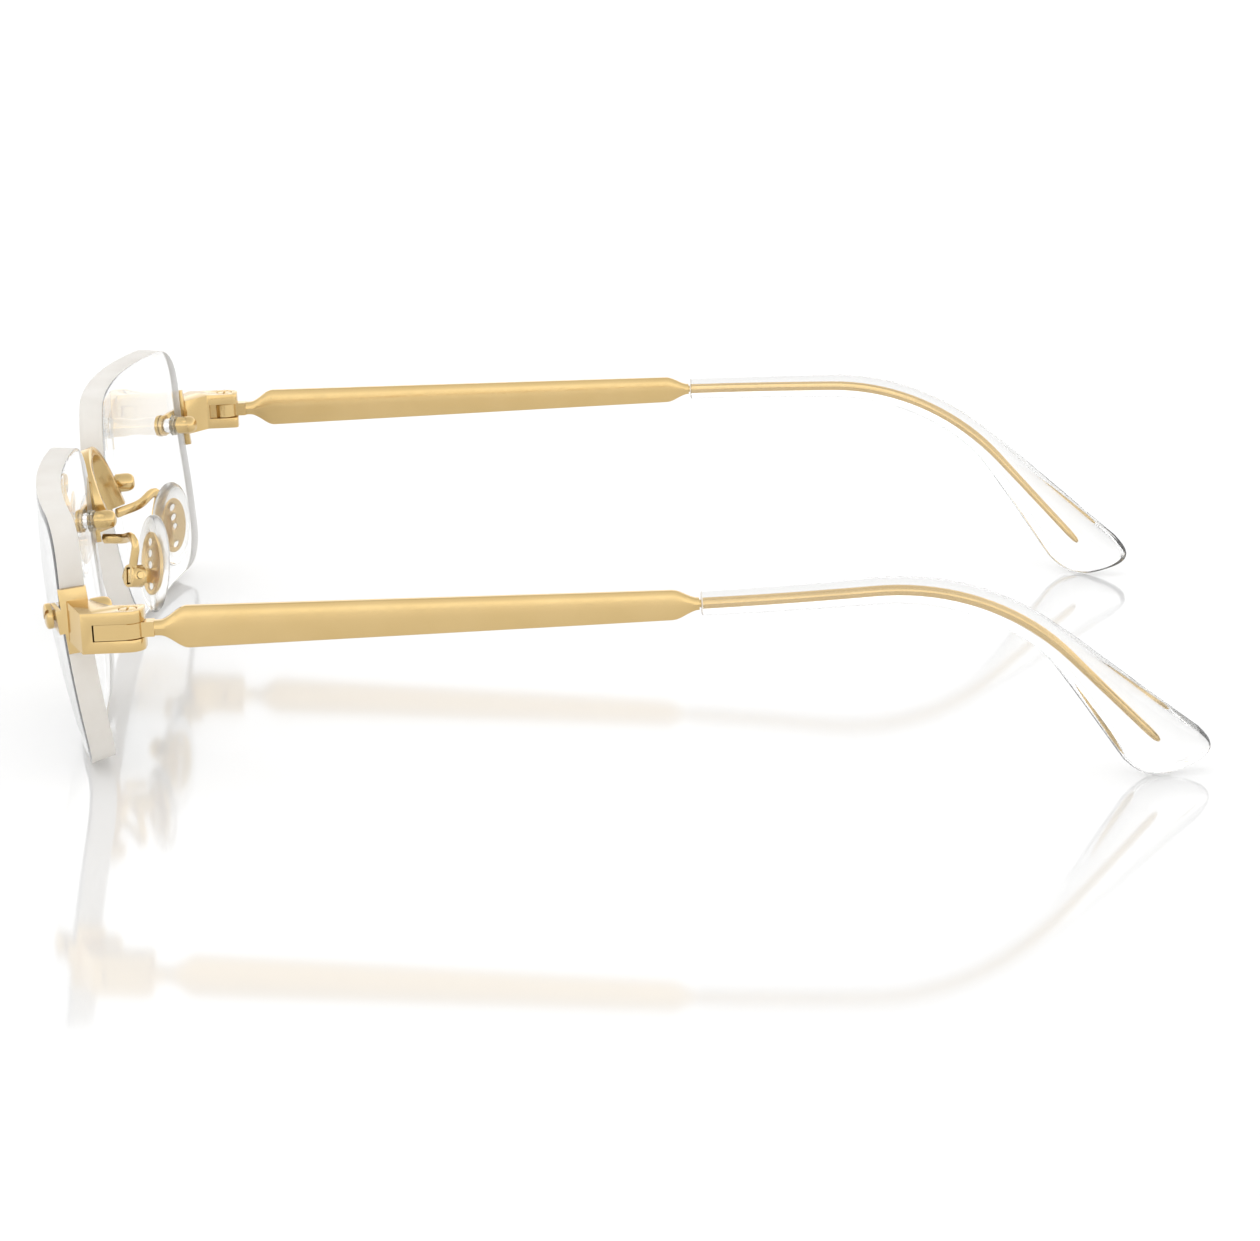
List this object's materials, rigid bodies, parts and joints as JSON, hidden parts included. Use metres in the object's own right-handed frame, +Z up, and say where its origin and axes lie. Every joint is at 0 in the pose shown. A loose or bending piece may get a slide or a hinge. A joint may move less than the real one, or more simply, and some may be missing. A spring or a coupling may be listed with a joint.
{
  "type": "rimless eyeglasses",
  "caption": "Rimless eyeglasses with clear rounded rectangular lenses, gold metal bridge and slim folding temples, clear temple tips and clear nose pads.",
  "frame": {"origin": "on the table under the middle of the open glasses' box", "axes": "+X to the wearer's left, +Y back along the temples, +Z up; the lenses face -Y"},
  "size_m": [0.139, 0.158, 0.0363],
  "materials": {
    "gold_metal": "polished light gold plating",
    "lens": "clear polished lens with ground edges",
    "clear_tip": "crystal clear polished acetate",
    "pad_silicone": "clear soft pad",
    "nylon": "clear moulded nylon"
  },
  "bodies": {
    "front": {"bridge": "gold_metal", "end_piece_left": "gold_metal", "end_piece_right": "gold_metal", "guard_arm_left": "gold_metal", "guard_arm_right": "gold_metal", "hinge_screw_left": "gold_metal", "hinge_screw_right": "gold_metal", "lens_left": "lens", "lens_right": "lens", "nasal_bushing_left": "nylon", "nasal_bushing_right": "nylon", "nasal_cap_nut_left": "gold_metal", "nasal_cap_nut_right": "gold_metal", "nasal_screw_left": "gold_metal", "nasal_screw_right": "gold_metal", "nasal_washer_left": "nylon", "nasal_washer_right": "nylon", "pad_screw_left": "gold_metal", "pad_screw_right": "gold_metal", "temporal_bushing_left": "nylon", "temporal_bushing_right": "nylon", "temporal_cap_nut_left": "gold_metal", "temporal_cap_nut_right": "gold_metal", "temporal_screw_left": "gold_metal", "temporal_screw_right": "gold_metal", "temporal_washer_left": "nylon", "temporal_washer_right": "nylon"},
    "temple_left": {"temple_left": "gold_metal", "temple_tip_left": "clear_tip"},
    "nose_pad_left": {"nose_pad_left": "pad_silicone", "pad_core_left": "gold_metal"},
    "temple_right": {"temple_right": "gold_metal", "temple_tip_right": "clear_tip"},
    "nose_pad_right": {"nose_pad_right": "pad_silicone", "pad_core_right": "gold_metal"}
  },
  "joints": [
    {"name": "temple_left_fold", "type": "hinge", "parent": "front", "child": "temple_left", "pos_m": [0.06741, -0.06183, 0.02329], "axis": [0, -0.0454, 0.999], "range_deg": [0, 86]},
    {"name": "temple_right_fold", "type": "hinge", "parent": "front", "child": "temple_right", "pos_m": [-0.06741, -0.06183, 0.02329], "axis": [0, 0.0454, -0.999], "range_deg": [0, 78]},
    {"name": "nose_pad_left_rock", "type": "hinge", "parent": "front", "child": "nose_pad_left", "pos_m": [0.01418, -0.06723, 0.01677], "axis": [-0.7616, -0.5904, -0.2672], "range_deg": [-8, 8]},
    {"name": "nose_pad_right_rock", "type": "hinge", "parent": "front", "child": "nose_pad_right", "pos_m": [-0.01418, -0.06723, 0.01677], "axis": [-0.7616, 0.5904, 0.2672], "range_deg": [-8, 8]}
  ]
}
